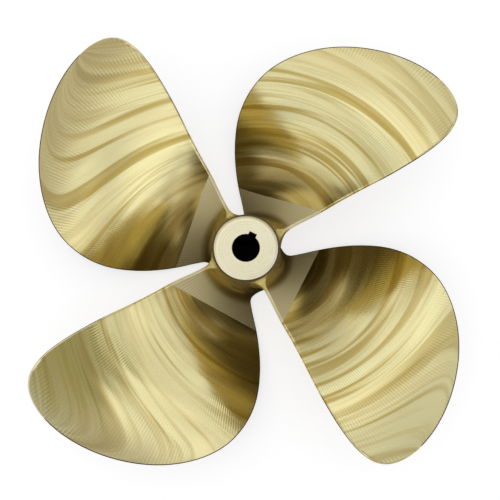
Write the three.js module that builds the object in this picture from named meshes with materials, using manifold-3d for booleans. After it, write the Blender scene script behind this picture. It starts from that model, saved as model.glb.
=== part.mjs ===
// A four-blade fixed-pitch propeller for an inboard shaft: a hub with a keyed taper bore, and four
// skewed blades of left-hand rotation. Lengths are in millimetres, angles in degrees.
//
// Frame: +Z is the shaft axis and points aft, towards the propeller nut. The origin is the centre of
// the hub's forward face, on which the propeller stands. +X is the centre of the keyway, and also the
// reference line of blade 1; the other blades follow at quarter turns.
import * as THREE from "three";
import { mergeVertices } from "three/addons/utils/BufferGeometryUtils.js";
import Module from "manifold-3d";

// Driving dimensions
const DIAMETER = 609.6;
const PITCH = 609.6;
const BLADES = 4;
const HUB_LENGTH = 124;
const HUB_FORWARD_RADIUS = 45;
const HUB_AFT_RADIUS = 39.8; // where the cone ends, below the aft boss
const BOSS_RADIUS = 38.5; // the turned boss that carries the aft face
const BOSS_HEIGHT = 2.4;
const BORE_AFT_RADIUS = 15.8; // small end of the taper, for a 1-1/2 in shaft
const BORE_TAPER = 1 / 16; // change of diameter over length
const KEY_WIDTH = 9.5;
const KEYWAY_DEPTH = 4.1; // beyond the bore's wall
const RIM_CHAMFER = 0.8;
const FOOT_CHAMFER = 1.5;

// Blade: height of its reference line where it leaves the hub, and how far it leans aft
const REFERENCE_HEIGHT = 56.4;
const RAKE = 9;
const RAKE_START = 0.2; // share of the tip radius where the rake is measured from

// Blade outline, at even steps of the radius from 0.1 of the tip radius to the tip: the angle from the
// reference line to mid-chord, and half the angle that the blade covers before its tip is rounded.
const STATION_STEP = 0.1;
const SKEW = [-3.8, -2.4, -1.6, -1.3, -2.0, -3.4, -5.6, -9.0, -14.6, -22.5];
const SPREAD = [32.4, 33.9, 35.7, 36.0, 36.2, 36.5, 36.5, 36.3, 35.0, 32.5];
const TIP_POWER = 3.5;

// Blade thickness: at mid-chord at the shaft axis and at the tip, and at the edges
const AXIS_THICKNESS = 27;
const TIP_THICKNESS = 4.4;
const EDGE_THICKNESS_ROOT = 3.4;
const EDGE_THICKNESS_TIP = 3;

// Root fillets, and the gap that keeps the blades clear of the hub
const FACE_FILLET = 14;
const EDGE_FILLET = 7;
const GAP = 0.3;
const FOOT_CLEARANCE = 0.6; // the blades stop this far above the hub's forward face

// Mesh steps
const HUB_SEGMENTS = 64;
const CHORD_STEPS = 14;
const RADIAL_STEPS = 26;
const RIM_STEPS = 6;
const FILLET_RISES = [-3, 0.2, 1.2, 3, 6, 10]; // stations in the fillet, above the hub's surface
const MERGE_DISTANCE = 1e-4;

const TIP_RADIUS = DIAMETER / 2;
const DEGREE = Math.PI / 180;
const TINY = 1e-6;
const LEAD = PITCH / (2 * Math.PI); // advance along the shaft for each radian

const wasm = await Module();
wasm.setup();

// --- Solids -------------------------------------------------------------------------------------

function solidFrom(geometry) {
  const bare = geometry.index ? geometry.toNonIndexed() : geometry.clone();
  bare.deleteAttribute("normal");
  bare.deleteAttribute("uv");
  const merged = mergeVertices(bare, MERGE_DISTANCE);
  const corners = merged.index.array;
  const kept = [];
  for (let i = 0; i < corners.length; i += 3) {
    const [a, b, c] = corners.slice(i, i + 3);
    if (a !== b && b !== c && c !== a) kept.push(a, b, c);
  }
  return new wasm.Manifold(
    new wasm.Mesh({
      numProp: 3,
      vertProperties: new Float32Array(merged.attributes.position.array),
      triVerts: new Uint32Array(kept),
    }),
  );
}

function geometryFrom(solid) {
  const mesh = solid.getMesh();
  const geometry = new THREE.BufferGeometry();
  geometry.setAttribute("position", new THREE.BufferAttribute(mesh.vertProperties, 3));
  geometry.setIndex(new THREE.BufferAttribute(mesh.triVerts, 1));
  geometry.computeVertexNormals();
  return geometry;
}

// A solid of revolution about +Z from [radius, height] points, listed from the foot upwards outside
// and back down inside, or from axis to axis.
function turned(profile) {
  const points = profile.map(([radius, height]) => new THREE.Vector2(radius, height));
  const lathe = new THREE.LatheGeometry(points, HUB_SEGMENTS);
  lathe.rotateX(90 * DEGREE); // the lathe turns about +Y
  return solidFrom(lathe);
}

// --- Hub ----------------------------------------------------------------------------------------

function hubRadius(height) {
  const share = THREE.MathUtils.clamp(height / HUB_LENGTH, 0, 1);
  return THREE.MathUtils.lerp(HUB_FORWARD_RADIUS, HUB_AFT_RADIUS, share);
}

function boreRadius(height) {
  return BORE_AFT_RADIUS + ((HUB_LENGTH - height) * BORE_TAPER) / 2;
}

// The slot for the key: its floor runs parallel to the bore's wall.
function keywayCutter() {
  const overrun = 5;
  const low = -overrun;
  const high = HUB_LENGTH + overrun;
  const side = new THREE.Shape([
    new THREE.Vector2(0, low),
    new THREE.Vector2(boreRadius(low) + KEYWAY_DEPTH, low),
    new THREE.Vector2(boreRadius(high) + KEYWAY_DEPTH, high),
    new THREE.Vector2(0, high),
  ]);
  const slot = new THREE.ExtrudeGeometry(side, { depth: KEY_WIDTH, bevelEnabled: false });
  slot.rotateX(90 * DEGREE);
  slot.translate(0, KEY_WIDTH / 2, 0);
  return solidFrom(slot);
}

function makeHub() {
  const shoulder = HUB_LENGTH - BOSS_HEIGHT;
  const blank = turned([
    [boreRadius(0) + RIM_CHAMFER, 0],
    [HUB_FORWARD_RADIUS - FOOT_CHAMFER, 0],
    [hubRadius(FOOT_CHAMFER), FOOT_CHAMFER],
    [hubRadius(shoulder), shoulder],
    [BOSS_RADIUS, shoulder],
    [BOSS_RADIUS, HUB_LENGTH - RIM_CHAMFER],
    [BOSS_RADIUS - RIM_CHAMFER, HUB_LENGTH],
    [boreRadius(HUB_LENGTH) + RIM_CHAMFER, HUB_LENGTH],
    [boreRadius(HUB_LENGTH - RIM_CHAMFER), HUB_LENGTH - RIM_CHAMFER],
    [boreRadius(RIM_CHAMFER), RIM_CHAMFER],
    [boreRadius(0) + RIM_CHAMFER, 0],
  ]);
  return blank.subtract(keywayCutter());
}

// --- Blade --------------------------------------------------------------------------------------

// A smooth curve through a table of stations, as a cubic between each pair.
function station(values, rho) {
  const place = THREE.MathUtils.clamp(rho / STATION_STEP - 1, 0, values.length - 1);
  const i = Math.min(Math.floor(place), values.length - 2);
  const before = values[i - 1] ?? 2 * values[i] - values[i + 1];
  const after = values[i + 2] ?? 2 * values[i + 1] - values[i];
  const slopeIn = (values[i + 1] - before) / 2;
  const slopeOut = (after - values[i]) / 2;
  const f = place - i;
  const rise = values[i + 1] - values[i];
  const bend = slopeIn + slopeOut - 2 * rise;
  return values[i] + f * (slopeIn + f * (rise - slopeIn - bend + f * bend));
}

function midAngle(radius) {
  return station(SKEW, radius / TIP_RADIUS) * DEGREE;
}

function halfAngle(radius) {
  const rho = Math.min(radius / TIP_RADIUS, 1);
  return station(SPREAD, rho) * DEGREE * Math.sqrt(1 - rho ** TIP_POWER);
}

function faceHeight(radius, angle) {
  const lean = (radius - RAKE_START * TIP_RADIUS) * Math.tan(RAKE * DEGREE);
  return REFERENCE_HEIGHT - LEAD * angle + lean;
}

// How far a fillet of that radius stands out, at a height above the surface that it runs into.
function filletReach(fillet, rise) {
  const drop = fillet - THREE.MathUtils.clamp(rise, 0, fillet);
  return fillet - Math.sqrt(fillet * fillet - drop * drop);
}

function riseAt(radius, angle) {
  return radius - hubRadius(faceHeight(radius, angle));
}

function edgeThickness(radius) {
  return THREE.MathUtils.lerp(EDGE_THICKNESS_ROOT, EDGE_THICKNESS_TIP, radius / TIP_RADIUS);
}

// A segment of a circle's shape on the back: thickest at mid-chord, thinnest at the edges.
function thickness(radius, angle) {
  const edge = edgeThickness(radius);
  const middle = THREE.MathUtils.lerp(AXIS_THICKNESS, TIP_THICKNESS, radius / TIP_RADIUS);
  const half = Math.max(halfAngle(radius), TINY);
  const across = THREE.MathUtils.clamp((angle - midAngle(radius)) / half, -1, 1);
  return edge + (middle - edge) * (1 - across * across);
}

function pitchAngle(radius) {
  return Math.atan2(LEAD, radius);
}

// The angle about the shaft that a length along the blade's section covers.
function turnFor(length, radius) {
  return (length * Math.cos(pitchAngle(radius))) / radius;
}

// A point of the blade, that far below the pitch face along the section's normal.
function bladePoint(radius, angle, depth) {
  const turned = angle - (depth * Math.sin(pitchAngle(radius))) / radius;
  return new THREE.Vector3(
    radius * Math.cos(turned),
    radius * Math.sin(turned),
    faceHeight(radius, angle) - depth * Math.cos(pitchAngle(radius)),
  );
}

// Where the blade's edge is: side -1 is the trailing edge and +1 the leading edge. The edge flares
// into the hub with a fillet of its own.
function edgeAngle(radius, side) {
  const angle = midAngle(radius) + side * halfAngle(radius);
  const flare = filletReach(EDGE_FILLET, riseAt(radius, angle));
  return angle + side * turnFor(flare, radius);
}

// The way out of the blade at its edge, within the blade's surface: a radial part and a part along
// the section.
function wayOut(radius, side) {
  const step = 0.05;
  const inner = radius - step;
  const slope = (edgeAngle(radius, side) - edgeAngle(inner, side)) / step;
  const lean = slope / turnFor(1, radius);
  const length = Math.hypot(1, lean);
  return { radial: (-side * lean) / length, along: side / length };
}

// Where the rounding of the edge begins: a point inside the edge by half the edge's thickness.
function rimStart(radius, side) {
  const inset = edgeThickness(radius) / 2;
  const way = wayOut(radius, side);
  return {
    radius: radius - inset * way.radial,
    angle: edgeAngle(radius, side) - turnFor(inset * way.along, radius),
    way,
    inset,
  };
}

function stationRadii() {
  const root = hubRadius(REFERENCE_HEIGHT);
  const radii = FILLET_RISES.map((rise) => root + rise);
  for (let i = 0; i <= RADIAL_STEPS; i += 1) {
    const share = Math.sin((i / RADIAL_STEPS) * 90 * DEGREE); // closes up towards the tip
    radii.push(THREE.MathUtils.lerp(root + FACE_FILLET, TIP_RADIUS, share));
  }
  return radii;
}

// The half round from one side of the edge to the other.
function rimArc(rim, from, to) {
  const nudge = 1; // a short way out, only to find its direction in space
  const start = bladePoint(rim.radius, rim.angle, 0);
  const beyond = bladePoint(
    rim.radius + nudge * rim.way.radial,
    rim.angle + turnFor(nudge * rim.way.along, rim.radius),
    0,
  );
  const out = beyond.sub(start).setLength(rim.inset);
  const middle = from.clone().lerp(to, 0.5);
  const across = from.clone().sub(middle);
  const points = [];
  for (let i = 1; i < RIM_STEPS; i += 1) {
    const turn = (i / RIM_STEPS) * 180 * DEGREE;
    const point = middle.clone().addScaledVector(across, Math.cos(turn));
    points.push(point.addScaledVector(out, Math.sin(turn)));
  }
  return points;
}

// A closed ring of points round the blade at one station: along the face from the trailing to the
// leading edge, round the leading edge, back along the blade's back, and round the trailing edge.
function ringAt(radius) {
  const trailing = rimStart(radius, -1);
  const leading = rimStart(radius, 1);
  const face = [];
  const back = [];
  for (let i = 0; i <= CHORD_STEPS; i += 1) {
    const share = i / CHORD_STEPS;
    const r = THREE.MathUtils.lerp(trailing.radius, leading.radius, share);
    const angle = THREE.MathUtils.lerp(trailing.angle, leading.angle, share);
    const fillet = filletReach(FACE_FILLET, riseAt(r, angle));
    face.push(bladePoint(r, angle, -fillet));
    back.unshift(bladePoint(r, angle, thickness(r, angle) + fillet));
  }
  return [
    ...face,
    ...rimArc(leading, face.at(-1), back[0]),
    ...back,
    ...rimArc(trailing, back.at(-1), face[0]),
  ];
}

// The triangles that close a ring: strips across from the face to the back, and a fan in each rim.
function capTriangles(ring) {
  const at = (i) => ring[i % ring.length];
  const backEnd = 2 * CHORD_STEPS + RIM_STEPS;
  const triangles = [];
  for (let i = 0; i < CHORD_STEPS; i += 1) {
    triangles.push([at(i), at(backEnd - i - 1), at(i + 1)]);
    triangles.push([at(i), at(backEnd - i), at(backEnd - i - 1)]);
  }
  for (const start of [CHORD_STEPS, backEnd]) {
    for (let i = 1; i < RIM_STEPS; i += 1) {
      triangles.push([at(start), at(start + i + 1), at(start + i)]);
    }
  }
  return triangles;
}

// Joins the rings, root first, into one closed skin.
function skin(rings) {
  const triangles = capTriangles(rings[0]).map((corners) => corners.reverse());
  triangles.push(...capTriangles(rings.at(-1)));
  for (let j = 0; j + 1 < rings.length; j += 1) {
    for (let i = 0; i < rings[j].length; i += 1) {
      const next = (i + 1) % rings[j].length;
      triangles.push([rings[j][i], rings[j + 1][next], rings[j][next]]);
      triangles.push([rings[j][i], rings[j + 1][i], rings[j + 1][next]]);
    }
  }
  return new THREE.BufferGeometry().setFromPoints(triangles.flat());
}

// What a blade is trimmed by: the hub and its gap, and the planes of the hub's two ends.
function rootTrimmer() {
  const below = -30;
  const above = HUB_LENGTH + 30;
  const shoulder = HUB_LENGTH - BOSS_HEIGHT;
  const reach = hubRadius(shoulder) + FACE_FILLET;
  return turned([
    [0, below],
    [TIP_RADIUS, below],
    [TIP_RADIUS, FOOT_CLEARANCE],
    [HUB_FORWARD_RADIUS + GAP, FOOT_CLEARANCE],
    [hubRadius(shoulder - GAP) + GAP, shoulder - GAP],
    [reach, shoulder - GAP],
    [reach, above],
    [0, above],
  ]);
}

function makeBlade() {
  return solidFrom(skin(stationRadii().map(ringAt))).subtract(rootTrimmer());
}

// --- Assembly -----------------------------------------------------------------------------------

function bronze(color, roughness) {
  return new THREE.MeshStandardMaterial({ color, roughness, metalness: 1 });
}

const propeller = new THREE.Group();

const hub = new THREE.Mesh(geometryFrom(makeHub()), bronze(0xd8cfa0, 0.4));
hub.name = "hub";
propeller.add(hub);

const bladeGeometry = geometryFrom(makeBlade());
for (let i = 0; i < BLADES; i += 1) {
  const blade = new THREE.Mesh(bladeGeometry, bronze(0xc9bc7c, 0.3));
  blade.name = `blade_${i + 1}`;
  blade.rotation.z = (i * 2 * Math.PI) / BLADES;
  propeller.add(blade);
}

export default propeller;
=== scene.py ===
"""Looks for a four-blade left-hand boat propeller in bronze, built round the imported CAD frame."""

import math

import bmesh
import bpy
import numpy as np
from mathutils import Matrix, Vector


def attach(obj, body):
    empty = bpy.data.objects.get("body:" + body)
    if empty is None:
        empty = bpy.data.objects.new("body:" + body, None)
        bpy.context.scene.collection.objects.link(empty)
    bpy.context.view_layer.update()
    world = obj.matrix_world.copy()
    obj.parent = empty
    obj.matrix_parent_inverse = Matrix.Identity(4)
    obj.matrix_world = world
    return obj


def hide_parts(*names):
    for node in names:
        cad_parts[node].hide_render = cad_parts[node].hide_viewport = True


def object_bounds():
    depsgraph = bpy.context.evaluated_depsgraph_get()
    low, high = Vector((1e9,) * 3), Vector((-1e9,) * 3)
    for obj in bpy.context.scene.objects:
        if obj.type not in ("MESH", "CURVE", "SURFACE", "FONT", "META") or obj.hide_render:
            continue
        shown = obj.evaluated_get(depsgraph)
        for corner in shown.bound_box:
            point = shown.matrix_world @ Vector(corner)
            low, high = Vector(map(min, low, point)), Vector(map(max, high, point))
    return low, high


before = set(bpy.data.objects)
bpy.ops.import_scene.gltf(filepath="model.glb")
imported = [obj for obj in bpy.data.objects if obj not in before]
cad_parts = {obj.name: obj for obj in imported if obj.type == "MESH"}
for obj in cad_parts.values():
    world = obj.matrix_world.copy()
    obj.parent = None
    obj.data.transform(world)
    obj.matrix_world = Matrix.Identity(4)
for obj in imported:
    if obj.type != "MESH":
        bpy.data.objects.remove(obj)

cad_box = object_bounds()

MM = 0.001

# --- The propeller's dimensions, in millimetres -------------------------------------------------

TIP_RADIUS = 304.8
PITCH = 609.6
BLADES = 4
HUB_LENGTH = 124.0
HUB_FORWARD_RADIUS = 45.0
HUB_AFT_RADIUS = 39.8
BOSS_RADIUS = 38.5
BOSS_HEIGHT = 2.4
BORE_AFT_RADIUS = 15.8
BORE_TAPER = 1 / 16
KEY_WIDTH = 9.5
KEYWAY_DEPTH = 4.1
RIM_CHAMFER = 0.8
FOOT_CHAMFER = 1.5

REFERENCE_HEIGHT = 56.4  # of the pitch face, on the reference line where the rake starts
RAKE = math.radians(9)
RAKE_START = 0.2  # share of the tip radius

# At every tenth of the tip radius, in degrees: the angle from the reference line to the middle of the
# blade, and half the angle that the blade covers before its tip is rounded
STATION_STEP = 0.1
SKEW = (-3.8, -2.4, -1.6, -1.3, -2.0, -3.4, -5.6, -9.0, -14.6, -22.5)
SPREAD = (32.4, 33.9, 35.7, 36.0, 36.2, 36.5, 36.5, 36.3, 35.0, 32.5)
TIP_POWER = 3.5

AXIS_THICKNESS = 27.0  # of the middle of the blade, carried on to the shaft's axis
TIP_THICKNESS = 4.4
EDGE_THICKNESS_ROOT = 3.4
EDGE_THICKNESS_TIP = 3.0

FACE_FILLET = 14.0
EDGE_FILLET = 7.0
FOOT_SINK = 0.3  # how far the foot of a fillet is let into the hub
ROOT_ZONE = 77.5  # the milled root of a blade ends at this distance along its reference line
FILLET_PASSES = 4
CROWN_WIDTH = 5.5  # the outer ring of the aft face, which is eased down
CROWN_DROP = 0.6  # how far the outer ring is eased down
CROWN_STEPS = 10

ROOT_RADIUS = 38.0  # where a blade starts, inside the hub
ROOT_COLLAR = 8.0  # this far round the hub, a blade stays below the hub's shoulder
SHOULDER_CLEARANCE = 0.3
FOOT_CLEARANCE = 0.6  # the blades stop this far above the hub's forward face
BOX_MARGIN = 0.005  # the blades stay this far inside the CAD model's box

LEAD = PITCH / (2 * math.pi)


# --- Blade surface ------------------------------------------------------------------------------


# The tip has no width, so these keep it from dividing by zero
LEAST_HALF_ANGLE = 1e-6
LEAST_FLOW_ANGLE = 0.05


def station(values, rho):
    """A smooth curve through a table of stations, as a cubic between each pair."""
    first = 2 * values[0] - values[1]
    last = 2 * values[-1] - values[-2]
    padded = np.array([first, *values, last])
    place = np.clip(rho / STATION_STEP - 1, 0, len(values) - 1)
    i = np.minimum(place.astype(int), len(values) - 2)
    f = place - i
    slope_in = (padded[i + 2] - padded[i]) / 2
    slope_out = (padded[i + 3] - padded[i + 1]) / 2
    rise = padded[i + 2] - padded[i + 1]
    bend = slope_in + slope_out - 2 * rise
    return padded[i + 1] + f * (slope_in + f * (rise - slope_in - bend + f * bend))


def hub_radius(height):
    """The hub's cone, without the boss on its aft end."""
    share = np.clip(height / HUB_LENGTH, 0, 1)
    return HUB_FORWARD_RADIUS + share * (HUB_AFT_RADIUS - HUB_FORWARD_RADIUS)


def mid_angle(radius):
    return np.radians(station(SKEW, radius / TIP_RADIUS))


def half_angle(radius):
    rho = np.minimum(radius / TIP_RADIUS, 1)
    return np.radians(station(SPREAD, rho)) * np.sqrt(1 - rho**TIP_POWER)


def face_height(radius, angle):
    """The height of the pitch face: a helicoid of constant pitch that leans aft."""
    lean = (radius - RAKE_START * TIP_RADIUS) * math.tan(RAKE)
    return REFERENCE_HEIGHT - LEAD * angle + lean


def pitch_angle(radius):
    return np.arctan2(LEAD, radius)


def turn_for(length, radius):
    """The angle about the shaft that a length along the blade's section covers."""
    return length * np.cos(pitch_angle(radius)) / radius


def fillet_reach(fillet, rise):
    """How far a fillet of this radius stands out, that far above the hub."""
    drop = fillet - np.clip(rise, 0, fillet)
    return fillet - np.sqrt(fillet**2 - drop**2)


def edge_thickness(radius):
    rho = radius / TIP_RADIUS
    return EDGE_THICKNESS_ROOT + rho * (EDGE_THICKNESS_TIP - EDGE_THICKNESS_ROOT)


def thickness(radius, angle):
    edge = edge_thickness(radius)
    middle = AXIS_THICKNESS + radius / TIP_RADIUS * (TIP_THICKNESS - AXIS_THICKNESS)
    half = np.maximum(half_angle(radius), LEAST_HALF_ANGLE)
    across = np.clip((angle - mid_angle(radius)) / half, -1, 1)
    return edge + (middle - edge) * (1 - across**2)


def blade_point(radius, angle, depth):
    """A point of the blade, that far below the pitch face along the section's normal."""
    pitch = pitch_angle(radius)
    turned = angle - depth * np.sin(pitch) / radius
    height = face_height(radius, angle) - depth * np.cos(pitch)
    return np.stack([radius * np.cos(turned), radius * np.sin(turned), height], axis=-1)


def edge_angle(radius, side):
    """Where an edge is: side -1 is the trailing edge and +1 the leading edge."""
    angle = mid_angle(radius) + side * half_angle(radius)
    rise = radius - hub_radius(face_height(radius, angle))
    return angle + side * turn_for(fillet_reach(EDGE_FILLET, rise), radius)


def root_fillet(radius, angle, depth, side):
    """How far a fillet lifts the pitch face (side 1) or the back (side -1), next to the hub.

    The hub is a cone, so the reach and the hub's radius at its height are found in turns.
    """
    reach = np.zeros_like(radius)
    for _ in range(FILLET_PASSES):
        height = face_height(radius, angle) + (side * reach - depth) * np.cos(pitch_angle(radius))
        reach = fillet_reach(FACE_FILLET, radius - hub_radius(height) + FOOT_SINK)
    return reach


def way_out(radius, side):
    """The way out of the blade at its edge: a radial part and a part along the section."""
    step = 0.05
    slope = (edge_angle(radius, side) - edge_angle(radius - step, side)) / step
    lean = slope / turn_for(1.0, radius)
    length = np.hypot(1, lean)
    return -side * lean / length, side / length


FLOW_LIMIT = 1.2  # past the blade's edges by this, a streak drifts no further

# Polishing waves: height and length in millimetres, wander, share of the blade's phase, and twist
WAVES = ((0.10, 4.6, 1, 1.0, 0), (0.16, 8.3, -1, 1.7, 0), (0.05, 2.7, 2, 0.6, 2))
WANDER = 5.0  # how far the waves wander off the streaks, in millimetres
WAVE_START = 12.0  # the waves grow to full height this far outside the root zone
WAVE_EDGE = 6  # how steeply the waves fade towards the two edges
WAVE_END = 0.92  # the waves end at this share of the tip radius
WAVE_FADE = 0.2  # and fade out over this share


def course_of(radius, angle, drift):
    """A coordinate that stays the same along a polishing streak, in millimetres.

    Streaks run from the trailing edge to the leading edge, and drift outwards on the way. The second
    value is the place across the blade, from -1 at the trailing edge to 1 at the leading edge.
    """
    across = (angle - mid_angle(radius)) / np.maximum(half_angle(radius), LEAST_FLOW_ANGLE)
    limited = np.clip(across, -FLOW_LIMIT, FLOW_LIMIT)
    return radius * (1 - drift * (limited + 1)), across


def waves(radius, angle, drift, phase):
    """The slight waves that polishing leaves along the streaks."""
    course, across = course_of(radius, angle, drift)
    wander = WANDER * np.sin(across * 2.1 + radius / 70 + phase)
    height = np.zeros_like(course)
    for size, length, wandering, share, twist in WAVES:
        turn = (course + wandering * wander) / length + share * phase + twist * across
        height += size * np.sin(turn)
    outside = np.clip((radius * np.cos(angle) - ROOT_ZONE) / WAVE_START, 0, 1)
    edge = np.clip((1 - np.abs(across)) * WAVE_EDGE, 0, 1)
    tip = np.clip((WAVE_END - radius / TIP_RADIUS) / WAVE_FADE, 0, 1)
    return height * outside * edge * tip


# The blade's mesh: rows in the fillet and outside it, and steps across the face and round an edge
FILLET_ROWS = 26
ROWS = 110
CHORD = 72
RIM = 12
EDGE_CROWDING = 0.35  # 0 spaces the steps across the face evenly, and 1 as on a half circle
RIM_SQUARENESS = 0.5  # 1 is a half round edge, and 0 a square one
MERGE_DISTANCE = 2e-6  # in metres

# For each blade, how far its streaks drift outwards, as a share of the radius, and a phase that makes
# its waves and streaks differ from the other blades'
STREAKS = ((0.03, 0.4), (0.21, 2.3), (0.16, 4.1), (0.10, 5.2))


def row_radii():
    """Radii of the rows, closer together where the fillet starts and towards the tip."""
    free = float(hub_radius(REFERENCE_HEIGHT)) + FACE_FILLET
    inner = ROOT_RADIUS + (free - ROOT_RADIUS) * np.linspace(0, 1, FILLET_ROWS) ** 1.2
    outer = free + (TIP_RADIUS - free) * np.sin(np.linspace(0, 1, ROWS) * math.pi / 2) ** 1.05
    return np.concatenate([inner, outer[1:]])


def close_tip(trailing, leading, inset):
    """Brings the two edges of the last ring together, so that the blade is closed at its tip."""
    middle = (trailing[1][-1] + leading[1][-1]) / 2
    for start_radius, start_angle, radial, along in (trailing, leading):
        start_radius[-1] = TIP_RADIUS - inset
        start_angle[-1] = middle
        radial[-1] = 1
        along[-1] = 0


def rim(start, inset, begin, end):
    """The rounded edge between the face and the back, as a strip of points for each ring."""
    radius, angle, radial, along = start
    here = blade_point(radius, angle, 0.0)
    beyond = blade_point(radius + radial, angle + turn_for(along, radius), 0.0)
    out = beyond - here
    out *= (inset / np.linalg.norm(out, axis=1))[:, None]
    middle = (begin + end) / 2
    arc = []
    for i in range(1, RIM):
        turn = i / RIM * math.pi
        sideways = math.copysign(abs(math.cos(turn)) ** RIM_SQUARENESS, math.cos(turn))
        outward = math.sin(turn) ** RIM_SQUARENESS
        arc.append(middle + (begin - middle) * sideways + out * outward)
    return np.stack(arc, axis=1)


def blade_rings(drift, phase):
    """Rings of points round the blade, root first, with each point's place among the streaks.

    The third value is where the painted shade of the leading edge goes: 1 on its rim and 0 elsewhere.
    """
    radius = row_radii()
    inset = edge_thickness(radius) / 2
    starts = []
    for side in (-1, 1):
        radial, along = way_out(radius, side)
        start_radius = radius - inset * radial
        start_angle = edge_angle(radius, side) - turn_for(inset * along, radius)
        starts.append((start_radius, start_angle, radial, along))
    trailing, leading = starts
    close_tip(trailing, leading, inset[-1])
    even = np.linspace(0, 1, CHORD + 1)
    crowded = 0.5 - 0.5 * np.cos(even * math.pi)
    share = EDGE_CROWDING * crowded + (1 - EDGE_CROWDING) * even
    r = trailing[0][:, None] + (leading[0] - trailing[0])[:, None] * share
    a = trailing[1][:, None] + (leading[1] - trailing[1])[:, None] * share
    above = root_fillet(r, a, 0.0, 1)
    face = blade_point(r, a, -above - waves(r, a, drift, phase))
    below = root_fillet(r, a, thickness(r, a), -1)
    depth = thickness(r, a) + below + waves(r, a, drift, phase + 2.5)
    back = blade_point(r, a, depth)[:, ::-1]

    course, across = course_of(r, a, drift)
    flow = np.stack([course / 10, across, np.full_like(course, phase)], axis=-1)
    leading_flow = np.repeat(flow[:, -1:], RIM - 1, axis=1)
    trailing_flow = np.repeat(flow[:, :1], RIM - 1, axis=1)
    leading_rim = rim(leading, inset, face[:, -1], back[:, 0])
    trailing_rim = rim(trailing, inset, back[:, -1], face[:, 0])
    rings = (face, leading_rim, back, trailing_rim)
    flows = (flow, leading_flow, flow[:, ::-1], trailing_flow)
    rim_shape = (len(r), RIM - 1)
    # Only the leading edge's rim takes painted shade
    painted_rim_shade = (np.zeros_like(r), np.ones(rim_shape), np.zeros_like(r), np.zeros(rim_shape))
    return [np.concatenate(strips, axis=1) for strips in (rings, flows, painted_rim_shade)]


def trim(points):
    """Keeps the root between the hub's two ends, and the blade inside the CAD model's box."""
    radius = np.hypot(points[..., 0], points[..., 1])
    clear = np.maximum(0, radius - hub_radius(points[..., 2]) - ROOT_COLLAR)
    ceiling = HUB_LENGTH - BOSS_HEIGHT - SHOULDER_CLEARANCE + clear
    points[..., 2] = np.minimum(points[..., 2], ceiling)
    points[..., 2] = np.maximum(points[..., 2], FOOT_CLEARANCE)
    low, high = np.array([list(corner) for corner in cad_box]) / MM
    return np.clip(points, low + BOX_MARGIN, high - BOX_MARGIN)


def root_cap(count):
    """Closes the first ring, as a ladder from the trailing edge's middle to the leading edge's."""
    first = count - RIM // 2
    faces = []
    for k in range(count // 2):
        corners = (first + k, first + k + 1, first - k - 1, first - k)
        faces.append(tuple(dict.fromkeys(corner % count for corner in corners)))
    return faces


def blade_mesh(name, drift, phase):
    rings, flow, edge = blade_rings(drift, phase)
    rings = trim(rings)
    rows, count = rings.shape[:2]
    vertices = rings.reshape(-1, 3) * MM
    faces = []
    for j in range(rows - 1):
        for i in range(count):
            n = (i + 1) % count
            faces.append((j * count + i, (j + 1) * count + i, (j + 1) * count + n, j * count + n))
    faces += root_cap(count)
    mesh = bpy.data.meshes.new(name)
    mesh.from_pydata(vertices.tolist(), [], faces)
    for label, values in (("blade_xyz", vertices), ("flow", flow)):
        layer = mesh.attributes.new(label, "FLOAT_VECTOR", "POINT")
        layer.data.foreach_set("vector", values.astype(np.float32).ravel())
    # Where the leading edge's rim takes painted shade
    layer = mesh.attributes.new("edge", "FLOAT", "POINT")
    layer.data.foreach_set("value", edge.astype(np.float32).ravel())
    merged = bmesh.new()
    merged.from_mesh(mesh)
    bmesh.ops.remove_doubles(merged, verts=merged.verts, dist=MERGE_DISTANCE)
    bmesh.ops.recalc_face_normals(merged, faces=merged.faces)
    merged.to_mesh(mesh)
    merged.free()
    mesh.shade_smooth()
    return mesh


# --- Hub ----------------------------------------------------------------------------------------

HUB_SEGMENTS = 192
CUTTER_OVERHANG = 5.0  # how far the keyway's cutter stands out of the hub at both ends
SHARP_ANGLE = math.radians(25)


def bore_radius(height):
    return BORE_AFT_RADIUS + (HUB_LENGTH - height) * BORE_TAPER / 2


def crown_profile():
    """The aft face's outer edge, eased down from flat to its chamfer."""
    outer = BOSS_RADIUS - RIM_CHAMFER
    points = []
    for i in range(CROWN_STEPS + 1):
        share = 1 - i / CROWN_STEPS
        points.append((outer - (1 - share) * CROWN_WIDTH, HUB_LENGTH - CROWN_DROP * share**2))
    return points


def hub_mesh():
    shoulder = HUB_LENGTH - BOSS_HEIGHT
    profile = [
        (bore_radius(0) + RIM_CHAMFER, 0),
        (HUB_FORWARD_RADIUS - FOOT_CHAMFER, 0),
        (hub_radius(FOOT_CHAMFER), FOOT_CHAMFER),
        (hub_radius(shoulder), shoulder),
        (BOSS_RADIUS, shoulder),
        (BOSS_RADIUS, HUB_LENGTH - RIM_CHAMFER - CROWN_DROP),
        *crown_profile(),
        (bore_radius(HUB_LENGTH) + RIM_CHAMFER, HUB_LENGTH),
        (bore_radius(HUB_LENGTH - RIM_CHAMFER), HUB_LENGTH - RIM_CHAMFER),
        (bore_radius(RIM_CHAMFER), RIM_CHAMFER),
    ]
    made = bmesh.new()
    rings = []
    for radius, height in profile:
        ring = []
        for i in range(HUB_SEGMENTS):
            turn = i / HUB_SEGMENTS * 2 * math.pi
            at = (radius * math.cos(turn), radius * math.sin(turn), height)
            ring.append(made.verts.new([c * MM for c in at]))
        rings.append(ring)
    for k, ring in enumerate(rings):
        above = rings[(k + 1) % len(rings)]
        for i in range(HUB_SEGMENTS):
            n = (i + 1) % HUB_SEGMENTS
            made.faces.new((ring[i], above[i], above[n], ring[n]))
    bmesh.ops.recalc_face_normals(made, faces=made.faces)
    mesh = bpy.data.meshes.new("hub_fine")
    made.to_mesh(mesh)
    made.free()
    return mesh


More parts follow.
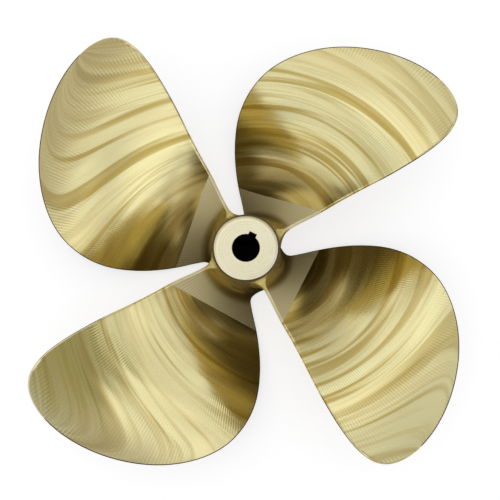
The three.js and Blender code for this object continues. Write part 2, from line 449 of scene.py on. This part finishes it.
def keyway_cutter():
    low, high = -CUTTER_OVERHANG, HUB_LENGTH + CUTTER_OVERHANG
    half = KEY_WIDTH / 2
    corners = []
    for height in (low, high):
        floor = bore_radius(height) + KEYWAY_DEPTH
        for x, y in ((0, -half), (floor, -half), (floor, half), (0, half)):
            corners.append((x * MM, y * MM, height * MM))
    sides = [(0, 1, 5, 4), (1, 2, 6, 5), (2, 3, 7, 6), (3, 0, 4, 7), (3, 2, 1, 0), (4, 5, 6, 7)]
    mesh = bpy.data.meshes.new("keyway_cutter")
    mesh.from_pydata(corners, [], sides)
    return mesh


def new_object(name, mesh):
    made = bpy.data.objects.new(name, mesh)
    bpy.context.scene.collection.objects.link(made)
    return made


def make_hub():
    hub = new_object("hub_fine", hub_mesh())
    cutter = new_object("keyway_cutter", keyway_cutter())
    cut = hub.modifiers.new("keyway", "BOOLEAN")
    cut.object = cutter
    cut.operation = "DIFFERENCE"
    cut.solver = "EXACT"
    bpy.context.view_layer.update()
    graph = bpy.context.evaluated_depsgraph_get()
    final = bpy.data.meshes.new_from_object(hub.evaluated_get(graph), depsgraph=graph)
    hub.modifiers.clear()
    hub.data = final
    final.name = "hub_fine"
    bpy.data.objects.remove(cutter)
    final.shade_smooth()
    final.set_sharp_from_angle(angle=SHARP_ANGLE)
    place = final.attributes.new("hub_xyz", "FLOAT_VECTOR", "POINT")
    corners = np.empty(len(final.vertices) * 3, dtype=np.float32)
    final.vertices.foreach_get("co", corners)
    place.data.foreach_set("vector", corners)
    return hub


# --- Materials ----------------------------------------------------------------------------------

# The blades
POLISHED = (0.92, 0.85, 0.47)
# The dark end of the bands and streaks: partly uneven tone, partly painted reflection
DARK_TONE_AND_REFLECTION = (0.56, 0.42, 0.12)
WARM = (0.90, 0.78, 0.40)
# The milled root's colour, darker in the grooves of its lines as painted shade
ROOT_MILLED_SHADED = ((0.86, 0.79, 0.52), (0.97, 0.91, 0.66))  # groove and crest of the root's lines
# Darker gold-brown near the hub: painted shade in the fillet
FILLET_SHADE = (0.66, 0.53, 0.20)
# Painted shade on the leading edge's rim, for its dark outline
RIM_PAINTED_SHADE = (0.10, 0.07, 0.025)
FINE_LINES = 434.0  # cutter lines in a full turn about the shaft, outside the root
ROOT_LINES = 176.0  # and in the milled root
FILLET_RANGE = (0.062, 0.050)  # radii in metres, inwards, over which a blade takes the fillet's look
DARK_BAND_RANGE = (0.22, 0.29)  # radii in metres over which the dark bands and streaks weaken

# The hub; each pair is uneven between its two colours
AFT_FACE = ((0.86, 0.81, 0.57), (0.82, 0.77, 0.52))
AFT_FACE_CLOUD = (0.87, 0.81, 0.62)
# The hub's sides, darker than the aft face as painted shade
SHADED_SIDE = ((0.62, 0.50, 0.22), (0.72, 0.60, 0.30))
# The bore, near black as painted shade in the deep hole
BORE_SHADE = ((0.025, 0.022, 0.018), (0.06, 0.05, 0.035))
# Painted shade on the ledge round the boss, for its dark ring
LEDGE_SHADE = (0.10, 0.075, 0.03)
CLOUDS_PER_METRE = 60.0


def feed(tree, sockets, inputs):
    """Gives each socket its input, which is another socket or a plain value."""
    for socket, value in zip(sockets, inputs):
        if isinstance(value, bpy.types.NodeSocket):
            tree.links.new(value, socket)
        else:
            socket.default_value = value


def maths(tree, operation, *inputs, clamp=False):
    """A Math node: each input is a socket or a number."""
    node = tree.nodes.new("ShaderNodeMath")
    node.operation = operation
    node.use_clamp = clamp
    feed(tree, node.inputs, inputs)
    return node.outputs[0]


def times(tree, first, second):
    return maths(tree, "MULTIPLY", first, second)


def length_of(tree, x, y):
    return maths(tree, "SQRT", maths(tree, "MULTIPLY_ADD", x, x, times(tree, y, y)))


def choose(tree, mask, off, on):
    """Is off where the mask is 0, and on where it is 1."""
    return maths(tree, "MULTIPLY_ADD", mask, maths(tree, "SUBTRACT", on, off), off)


def vector(tree, *inputs):
    node = tree.nodes.new("ShaderNodeCombineXYZ")
    feed(tree, node.inputs, inputs)
    return node.outputs[0]


def parts_of(tree, socket):
    node = tree.nodes.new("ShaderNodeSeparateXYZ")
    tree.links.new(socket, node.inputs[0])
    return node.outputs


def attribute(tree, name):
    node = tree.nodes.new("ShaderNodeAttribute")
    node.attribute_name = name
    return node.outputs


def noise(tree, place, scale=1.0, detail=3.0, roughness=0.5, distortion=0.0):
    node = tree.nodes.new("ShaderNodeTexNoise")
    tree.links.new(place, node.inputs["Vector"])
    node.inputs["Scale"].default_value = scale
    node.inputs["Detail"].default_value = detail
    node.inputs["Roughness"].default_value = roughness
    node.inputs["Distortion"].default_value = distortion
    return node.outputs["Fac"]


def spread(tree, value, low, high, start=0.0, end=1.0):
    """Turns the range from low to high smoothly into the range from start to end."""
    node = tree.nodes.new("ShaderNodeMapRange")
    node.interpolation_type = "SMOOTHSTEP"
    tree.links.new(value, node.inputs["Value"])
    node.inputs["From Min"].default_value = low
    node.inputs["From Max"].default_value = high
    node.inputs["To Min"].default_value = start
    node.inputs["To Max"].default_value = end
    return node.outputs["Result"]


def colours_of(sockets):
    return [socket for socket in sockets if socket.type == "RGBA"]


def blend(tree, share, first, second):
    """Mixes two colours; each is a socket or three numbers."""
    node = tree.nodes.new("ShaderNodeMix")
    node.data_type = "RGBA"
    tree.links.new(share, node.inputs["Factor"])
    pair = []
    for colour in (first, second):
        pair.append(colour if isinstance(colour, bpy.types.NodeSocket) else (*colour, 1))
    feed(tree, colours_of(node.inputs), pair)
    return colours_of(node.outputs)[0]


def bump(tree, shader, height):
    """Relief from a height in millimetres."""
    node = tree.nodes.new("ShaderNodeBump")
    node.inputs["Distance"].default_value = MM
    tree.links.new(height, node.inputs["Height"])
    tree.links.new(node.outputs["Normal"], shader.inputs["Normal"])


def bronze_material(name):
    material = bpy.data.materials.new(name)
    material.use_nodes = True
    tree = material.node_tree
    shader = tree.nodes["Principled BSDF"]
    shader.inputs["Metallic"].default_value = 1.0
    return material, tree, shader


def polished_colour(tree, radius, bands, streaks, patches):
    """Polished bronze with darker bands and streaks, which are weaker far out, and warm patches; the
    dark bands and streaks are partly uneven tone and partly painted reflection.
    """
    dark_band = spread(tree, bands, 0.47, 0.60)
    dark_streak = spread(tree, streaks, 0.49, 0.66)
    band_share = times(tree, dark_band, spread(tree, radius, *DARK_BAND_RANGE, 0.9, 0.4))
    streak_share = spread(tree, radius, *DARK_BAND_RANGE, 0.42, 0.15)
    # Darker bands and streaks, partly uneven tone and partly painted reflection
    tone_and_reflection = maths(tree, "MULTIPLY_ADD", dark_streak, streak_share, band_share, clamp=True)
    polished = blend(tree, tone_and_reflection, POLISHED, DARK_TONE_AND_REFLECTION)
    return blend(tree, spread(tree, patches, 0.35, 0.8, 0, 0.7), polished, WARM)


def polished_relief(tree, radius, angle, bands, streaks, patches):
    """Fine cutter lines, left higher in patches, over the streaks' slight waves, in millimetres."""
    lines = maths(tree, "SINE", times(tree, angle, FINE_LINES))
    line_height = spread(tree, patches, 0.40, 0.62, 0.003, 0.013)
    line_height = times(tree, line_height, spread(tree, radius, 0.11, 0.17))
    wave_height = spread(tree, radius, 0.20, 0.28, 0.25, 0.05)
    wave_relief = maths(tree, "MULTIPLY_ADD", streaks, 0.01, times(tree, bands, wave_height))
    return maths(tree, "ADD", times(tree, lines, line_height), wave_relief)


def blade_material():
    """Milled bronze, polished along the blade: streaks, fine cutter lines and a rougher root; the
    streaks' dark colour is partly painted reflection, and the root's grooves, its fillet and the
    leading edge's rim take painted shade.
    """
    material, tree, shader = bronze_material("milled_bronze")
    x, y, _ = parts_of(tree, attribute(tree, "blade_xyz")["Vector"])
    radius = length_of(tree, x, y)
    angle = maths(tree, "ARCTAN2", y, x)
    is_root = maths(tree, "LESS_THAN", x, ROOT_ZONE * MM)
    near_hub = spread(tree, radius, *FILLET_RANGE)
    root_lines = maths(tree, "SINE", times(tree, angle, ROOT_LINES))

    course, across, phase = parts_of(tree, attribute(tree, "flow")["Vector"])
    offset = times(tree, phase, 3.7)
    stretched = vector(tree, course, times(tree, across, 0.35), offset)
    place = vector(tree, course, across, offset)
    bands = noise(tree, stretched, 0.75, 2.0, 0.5, 0.6)
    streaks = noise(tree, stretched, 1.8, 2.0, 0.5, 0.3)

    polished = polished_colour(tree, radius, bands, streaks, noise(tree, place, 0.35, 2.0))
    # Painted shade in the grooves of the root's lines
    milled = blend(tree, spread(tree, root_lines, -1, 1), *ROOT_MILLED_SHADED)
    # Near the hub the fillet takes painted shade
    milled = blend(tree, near_hub, milled, FILLET_SHADE)
    colour = blend(tree, is_root, polished, milled)
    # The leading edge's rim is darkened as painted shade
    rim_shade_share = spread(tree, attribute(tree, "edge")["Fac"], 0.0, 0.4)
    tree.links.new(blend(tree, rim_shade_share, colour, RIM_PAINTED_SHADE), shader.inputs["Base Color"])

    polished_rough = spread(tree, streaks, 0.3, 0.7, 0.13, 0.21)
    root_rough = maths(tree, "MULTIPLY_ADD", near_hub, -0.28, 0.6)
    tree.links.new(choose(tree, is_root, polished_rough, root_rough), shader.inputs["Roughness"])

    relief = polished_relief(tree, radius, angle, bands, streaks, noise(tree, place, 0.9, 1.0))
    root_height = maths(tree, "MULTIPLY_ADD", near_hub, -0.014, 0.014)
    bump(tree, shader, choose(tree, is_root, relief, times(tree, root_lines, root_height)))
    return material


def hub_material():
    """Turned bronze: rings on the aft face, sides darker as painted shade, painted shade on the ledge
    round it, and a dull bore darkened as painted shade.
    """
    material, tree, shader = bronze_material("turned_bronze")
    x, y, z = parts_of(tree, attribute(tree, "hub_xyz")["Vector"])
    radius = times(tree, length_of(tree, x, y), 1 / MM)
    height = times(tree, z, 1 / MM)
    marks = noise(tree, vector(tree, radius, times(tree, height, 0.6), 0.0), 0.55, 2.0)
    cloud_x = times(tree, x, CLOUDS_PER_METRE)
    cloud_y = times(tree, y, CLOUDS_PER_METRE)
    cloud = noise(tree, vector(tree, cloud_x, cloud_y, z))

    face = blend(tree, spread(tree, marks, 0.35, 0.65), *AFT_FACE)
    face = blend(tree, spread(tree, cloud, 0.35, 0.7), face, AFT_FACE_CLOUD)
    uneven = spread(tree, marks, 0.3, 0.7)

    # The regions, with a little to spare so that each takes in its own edge, in millimetres
    on_top = maths(tree, "GREATER_THAN", height, HUB_LENGTH - BOSS_HEIGHT - 0.05)
    on_shaded_ledge = times(tree, on_top, maths(tree, "GREATER_THAN", radius, BOSS_RADIUS - 0.3))
    keyway_floor = bore_radius(0) + KEYWAY_DEPTH + 0.3
    reach = maths(tree, "MULTIPLY_ADD", height, -BORE_TAPER / 2, keyway_floor)
    below_face = maths(tree, "LESS_THAN", height, HUB_LENGTH - 0.2)
    in_bore = times(tree, maths(tree, "LESS_THAN", radius, reach), below_face)

    colour = blend(tree, on_top, blend(tree, uneven, *SHADED_SIDE), face)
    # The ledge is darkened as painted shade
    colour = blend(tree, on_shaded_ledge, colour, LEDGE_SHADE)
    # The bore is darkened as painted shade
    colour = blend(tree, in_bore, colour, blend(tree, uneven, *BORE_SHADE))
    tree.links.new(colour, shader.inputs["Base Color"])
    gloss = spread(tree, marks, 0.3, 0.7, 0.22, 0.32)
    rough = maths(tree, "MULTIPLY_ADD", in_bore, 0.3, gloss)
    tree.links.new(rough, shader.inputs["Roughness"])
    bump(tree, shader, times(tree, marks, 0.006))
    return material


# --- Pieces -------------------------------------------------------------------------------------

blade_bronze = blade_material()
hub_bronze = hub_material()

hub = make_hub()
hub.data.materials.clear()
hub.data.materials.append(hub_bronze)
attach(hub, "root")
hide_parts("hub")

for i in range(BLADES):
    mesh = blade_mesh(f"blade_{i + 1}_fine", *STREAKS[i])
    mesh.transform(Matrix.Rotation(i * 2 * math.pi / BLADES, 4, "Z"))
    blade = new_object(f"blade_{i + 1}_fine", mesh)
    mesh.materials.append(blade_bronze)
    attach(blade, "root")
    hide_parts(f"blade_{i + 1}")

# --- Stage --------------------------------------------------------------------------------------

IMAGE_TURN = 63.5  # how far the camera is turned about the shaft, in degrees
STAGE_SIDE = 60.0  # half the side of the floor and of the table, in metres
PAD_SIDE = 0.028
FLOOR_HEIGHT = -0.5  # these three are in millimetres
TABLE_HEIGHT = -0.4
PAD_HEIGHT = -0.2

# Directions are in the picture, in degrees: 0 is to the right, and they grow anticlockwise
LOBE = 12.0  # the first of the four dark lobes
TABLE_LOBE = -14.0  # the first of the lobes on the table
OLIVE_PATCH = -46.0
PALE_PATCH = -25.0

# Painted shadow on the table under the propeller
SHADOW_UNDER_HUB = (0.065, 0.046, 0.019)
TABLE_TOP = (0.78, 0.67, 0.40)
LOBE_COLOUR = (0.11, 0.082, 0.033)
OLIVE = (0.28, 0.26, 0.14)
PALE = (0.80, 0.92, 1.5)
WHITE = (1.0, 1.0, 0.98)
TAN = (1.0, 0.89, 0.76)
GOLD = (1.0, 0.84, 0.55)

# The sky from overhead downwards: degrees from overhead, brightness and tint
SKY = (
    (0, 0.98, WHITE), (25, 0.98, WHITE), (30, 0.35, TAN), (35, 0.35, TAN), (42, 1.0, WHITE),
    (60, 0.9, WHITE), (72, 0.8, WHITE), (82, 0.55, GOLD), (95, 0.25, GOLD), (125, 0.02, GOLD),
)

# The camera: its place in millimetres, its turn as an axis times an angle in radians, and its lens
CAMERA_PLACE = (-126.771, -86.783, 1406.732)
CAMERA_TURN = (0.11098, -0.05300, -1.10795)
SENSOR_WIDTH = 36.0
FOCAL_LENGTH = 79.2


def staged(name, corners, faces):
    """A matt thing of the studio's, not of the propeller's."""
    mesh = bpy.data.meshes.new(name)
    mesh.from_pydata(corners, [], faces)
    made = new_object(name, mesh)
    paint = bpy.data.materials.new(name)
    paint.use_nodes = True
    shader = paint.node_tree.nodes["Principled BSDF"]
    shader.inputs["Roughness"].default_value = 0.9
    shader.inputs["Specular IOR Level"].default_value = 0.0
    mesh.materials.append(paint)
    return made, paint.node_tree, shader


def plane(name, side, height):
    """A square about the shaft: half its side is in metres, and its height in millimetres."""
    z = height * MM
    corners = [(-side, -side, z), (side, -side, z), (side, side, z), (-side, side, z)]
    return staged(name, corners, [(0, 1, 2, 3)])


def only_reflected(thing):
    thing.visible_camera = False
    thing.visible_diffuse = False
    thing.visible_transmission = False
    thing.visible_shadow = False


def facing(tree, azimuth, centre, lobes=1):
    """1 where the azimuth is at the centre, in degrees, and -1 half way to the next lobe."""
    turned = maths(tree, "SUBTRACT", azimuth, math.radians(centre))
    return maths(tree, "COSINE", times(tree, turned, lobes))


def shadow_lobes(tree, azimuth, centre, start, full):
    """1 in four lobes round the shaft, one for each blade, and 0 between them."""
    return spread(tree, facing(tree, azimuth, centre, BLADES), start, full)


def band(tree, zenith, start, full, fade, end):
    """1 from full to fade, and 0 before start and after end, in degrees from overhead."""
    rise = spread(tree, zenith, start / 180, full / 180)
    fall = spread(tree, zenith, end / 180, fade / 180)
    return times(tree, rise, fall)


def make_floor():
    """A white floor that the bronze doesn't reflect, and a dark pad of painted shade that shows
    through the bore.
    """
    floor, _, shader = plane("floor", STAGE_SIDE, FLOOR_HEIGHT)
    shader.inputs["Base Color"].default_value = (0.6, 0.6, 0.61, 1)
    shader.inputs["Emission Color"].default_value = (0.98, 0.985, 1.0, 1)
    shader.inputs["Emission Strength"].default_value = 0.66
    floor.visible_glossy = False
    # The pad is painted shade, seen down the bore
    _, _, shader = plane("pad", PAD_SIDE, PAD_HEIGHT)
    shader.inputs["Base Color"].default_value = (0.04, 0.04, 0.045, 1)


def make_table():
    """A brown table that only shows in reflections, with painted shadow under the hub and painted
    shade in four lobes.
    """
    table, tree, shader = plane("table", STAGE_SIDE, TABLE_HEIGHT)
    place = tree.nodes.new("ShaderNodeTexCoord")
    x, y, _ = parts_of(tree, place.outputs["Object"])
    far = spread(tree, length_of(tree, x, y), 0.18, 0.34)
    azimuth = maths(tree, "ARCTAN2", y, x)
    shade = shadow_lobes(tree, azimuth, TABLE_LOBE - IMAGE_TURN, -0.9, -0.2)
    # The table is dark as painted shadow near the shaft, and as painted shade in the lobes
    lit = times(tree, far, maths(tree, "MULTIPLY_ADD", shade, -0.92, 1.0))
    tree.links.new(blend(tree, lit, SHADOW_UNDER_HUB, TABLE_TOP), shader.inputs["Base Color"])
    only_reflected(table)


def sky_colour(tree, zenith):
    ramp = tree.nodes.new("ShaderNodeValToRGB")
    tree.links.new(zenith, ramp.inputs["Fac"])
    elements = ramp.color_ramp.elements
    while len(elements) < len(SKY):
        elements.new(0.5)
    for element, (degrees, level, tint) in zip(elements, SKY):
        element.position = degrees / 180
        element.color = (*[level * part for part in tint], 1)
    return ramp.outputs["Color"]


def make_world():
    """A cloth tent: white overhead but for a tan ring, golden at the horizon and dark below it.

    The lobes and the two patches were placed by comparing renders with the photo's reflections.
    """
    world = bpy.data.worlds.new("studio")
    bpy.context.scene.world = world
    world.use_nodes = True
    tree = world.node_tree
    background = tree.nodes["Background"]
    place = tree.nodes.new("ShaderNodeTexCoord")
    turn = tree.nodes.new("ShaderNodeMapping")
    turn.inputs["Rotation"].default_value = (0, 0, math.radians(IMAGE_TURN))
    tree.links.new(place.outputs["Generated"], turn.inputs["Vector"])
    x, y, z = parts_of(tree, turn.outputs["Vector"])
    zenith = maths(tree, "DIVIDE", maths(tree, "ARCCOSINE", z), math.pi)
    azimuth = maths(tree, "ARCTAN2", y, x)

    low = spread(tree, zenith, 60 / 180, 76 / 180)
    shade = times(tree, low, shadow_lobes(tree, azimuth, LOBE, -0.4, 0.6))
    olive_side = spread(tree, facing(tree, azimuth, OLIVE_PATCH), 0.92, 0.98)
    olive = times(tree, band(tree, zenith, 24, 30, 44, 54), olive_side)
    pale_side = spread(tree, facing(tree, azimuth, PALE_PATCH), 0.6, 0.8)
    pale = times(tree, band(tree, zenith, 18, 22, 27, 30), pale_side)
    sky = blend(tree, shade, sky_colour(tree, zenith), LOBE_COLOUR)
    sky = blend(tree, olive, sky, OLIVE)
    sky = blend(tree, pale, sky, PALE)
    tree.links.new(sky, background.inputs["Color"])

    folds = noise(tree, vector(tree, times(tree, zenith, 30.0), x, y), 1.0, 3.0, 0.55, 0.4)
    tree.links.new(spread(tree, folds, 0.35, 0.65, 0.62, 1.18), background.inputs["Strength"])


def make_camera():
    data = bpy.data.cameras.new("camera")
    data.sensor_width = SENSOR_WIDTH
    data.lens = FOCAL_LENGTH
    data.clip_start = 0.1
    data.clip_end = 30
    camera = bpy.data.objects.new("camera", data)
    bpy.context.scene.collection.objects.link(camera)
    turn = Vector(CAMERA_TURN)
    camera.location = Vector(CAMERA_PLACE) * MM
    camera.rotation_mode = "QUATERNION"
    camera.rotation_quaternion = Matrix.Rotation(turn.length, 4, turn).to_quaternion()
    bpy.context.scene.camera = camera


make_floor()
make_table()
make_world()
make_camera()
bpy.context.scene.view_settings.view_transform = "Standard"
